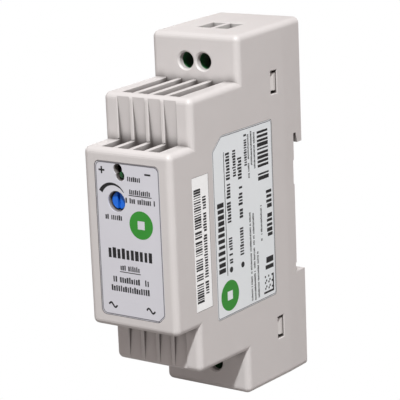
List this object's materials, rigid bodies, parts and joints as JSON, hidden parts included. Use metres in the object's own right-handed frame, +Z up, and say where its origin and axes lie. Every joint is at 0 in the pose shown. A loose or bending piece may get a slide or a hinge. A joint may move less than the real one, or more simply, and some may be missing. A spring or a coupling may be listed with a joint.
{
  "type": "din rail power supply",
  "caption": "Narrow stepped plastic power supply module that hooks on a rail, with a sprung foot, screw terminals at both ends, a trimmer and a lamp.",
  "frame": {"origin": "on the rail seat, level with the middle of the rail and halfway across the housing", "axes": "+X right as seen from the front, +Y back towards the rail, +Z up along the long side"},
  "size_m": [0.025, 0.056, 0.093],
  "materials": {
    "housing_plastic": "fine textured light grey moulded plastic",
    "base_plastic": "light grey moulded plastic",
    "foot_plastic": "black moulded nylon",
    "spring_steel": "drawn spring steel wire",
    "label_silver": "satin silver printed film",
    "label_light": "light printed film",
    "label_white": "white printed paper",
    "board_green": "glass epoxy board with green solder mask",
    "solder": "bright solder",
    "package_black": "black moulded epoxy",
    "ceramic_tan": "tan ceramic chip",
    "terminal_green": "green moulded polyamide",
    "tinned_contact": "tinned copper alloy",
    "screw_steel": "zinc plated steel",
    "clamp_steel": "yellow passivated steel",
    "trimmer_blue": "blue moulded plastic",
    "rotor_blue": "bright blue moulded plastic",
    "lamp_green": "green tinted clear epoxy",
    "package_white": "white moulded epoxy",
    "disc_dark": "dark dipped coating",
    "disc_blue": "blue dipped coating",
    "case_yellow": "yellow plastic case",
    "core_green": "green coated ferrite ring",
    "copper_wire": "enamelled copper wire",
    "can_aluminium": "plain aluminium can",
    "sleeve_navy": "dark blue shrink sleeve",
    "sleeve_green": "dark green shrink sleeve",
    "bung_rubber": "black rubber bung",
    "resistor_body": "pale blue lacquer",
    "ferrite_grey": "ground dark grey ferrite",
    "tape_yellow": "yellow polyester tape",
    "sink_aluminium": "mill finish aluminium sheet",
    "tab_metal": "tinned copper tab",
    "choke_brown": "brown lacquered drum choke"
  },
  "bodies": {
    "housing": {"housing_cover": "housing_plastic", "rear_base": "base_plastic", "latch_spring": "spring_steel", "front_label": "label_silver", "rating_label": "label_light", "serial_label": "label_white", "main_board": "board_green", "control_board": "board_green", "solder_joints": "solder", "chip_resistors": "package_black", "chip_capacitors": "ceramic_tan", "output_terminal_block": "terminal_green", "input_terminal_block": "terminal_green", "output_contacts": "tinned_contact", "input_contacts": "tinned_contact", "trimmer_body": "trimmer_blue", "status_lamp": "lamp_green", "optocoupler": "package_white", "voltage_reference": "package_black", "input_fuse": "package_black", "inrush_thermistor": "disc_dark", "surge_varistor": "disc_blue", "filter_capacitor": "case_yellow", "isolation_capacitor": "disc_blue", "choke_core": "core_green", "choke_windings": "copper_wire", "choke_base": "package_black", "bridge_rectifier": "package_black", "bulk_capacitor_can": "can_aluminium", "bulk_capacitor_sleeve": "sleeve_navy", "capacitor_bungs": "bung_rubber", "switching_controller": "package_black", "snubber_resistor": "resistor_body", "transformer_core_rear": "ferrite_grey", "transformer_core_front": "ferrite_grey", "transformer_bobbin": "package_black", "transformer_winding": "copper_wire", "transformer_tape": "tape_yellow", "heat_sink": "sink_aluminium", "heat_sink_screw": "screw_steel", "output_diode_body": "package_black", "output_diode_tab": "tab_metal", "output_capacitor_cans": "can_aluminium", "output_capacitor_sleeves": "sleeve_green", "output_choke": "choke_brown"},
    "foot": {"rail_latch": "foot_plastic"},
    "trimmer_knob": {"trimmer_rotor": "rotor_blue"},
    "output_screw_left": {"output_screw_left": "screw_steel"},
    "output_clamp_left": {"output_clamp_left": "clamp_steel"},
    "output_screw_right": {"output_screw_right": "screw_steel"},
    "output_clamp_right": {"output_clamp_right": "clamp_steel"},
    "input_screw_left": {"input_screw_left": "screw_steel"},
    "input_clamp_left": {"input_clamp_left": "clamp_steel"},
    "input_screw_right": {"input_screw_right": "screw_steel"},
    "input_clamp_right": {"input_clamp_right": "clamp_steel"}
  },
  "joints": [
    {"name": "foot_slide", "type": "slide", "parent": "housing", "child": "foot", "axis": [0, 0, -1], "range_m": [0, 0.004], "stiffness_N_per_m": 1500, "springref_m": -0.004, "deforming": ["latch_spring"]},
    {"name": "trimmer_turn", "type": "hinge", "parent": "housing", "child": "trimmer_knob", "pos_m": [-0.00333, -0.0495, 0.0104], "axis": [0, 1, 0], "range_deg": [-130, 130]},
    {"name": "output_screw_left_turn", "type": "hinge", "parent": "housing", "child": "output_screw_left", "pos_m": [-0.00254, -0.016, 0.0388], "axis": [0, 1, 0], "range_deg": [0, 1441]},
    {"name": "output_clamp_left_slide", "type": "slide", "parent": "housing", "child": "output_clamp_left", "axis": [0, -1, 0], "range_m": [0, 0.0018]},
    {"name": "output_screw_right_turn", "type": "hinge", "parent": "housing", "child": "output_screw_right", "pos_m": [0.00254, -0.016, 0.0388], "axis": [0, 1, 0], "range_deg": [0, 1441]},
    {"name": "output_clamp_right_slide", "type": "slide", "parent": "housing", "child": "output_clamp_right", "axis": [0, -1, 0], "range_m": [0, 0.0018]},
    {"name": "input_screw_left_turn", "type": "hinge", "parent": "housing", "child": "input_screw_left", "pos_m": [-0.00254, -0.016, -0.0364], "axis": [0, 1, 0], "range_deg": [0, 1441]},
    {"name": "input_clamp_left_slide", "type": "slide", "parent": "housing", "child": "input_clamp_left", "axis": [0, -1, 0], "range_m": [0, 0.0018]},
    {"name": "input_screw_right_turn", "type": "hinge", "parent": "housing", "child": "input_screw_right", "pos_m": [0.00254, -0.016, -0.0364], "axis": [0, 1, 0], "range_deg": [0, 1441]},
    {"name": "input_clamp_right_slide", "type": "slide", "parent": "housing", "child": "input_clamp_right", "axis": [0, -1, 0], "range_m": [0, 0.0018]}
  ],
  "couplings": [
    {"joint": "output_screw_left_turn", "follows": "output_clamp_left_slide", "rad_per_m": 13963},
    {"joint": "output_screw_right_turn", "follows": "output_clamp_right_slide", "rad_per_m": 13963},
    {"joint": "input_screw_left_turn", "follows": "input_clamp_left_slide", "rad_per_m": 13963},
    {"joint": "input_screw_right_turn", "follows": "input_clamp_right_slide", "rad_per_m": 13963}
  ]
}
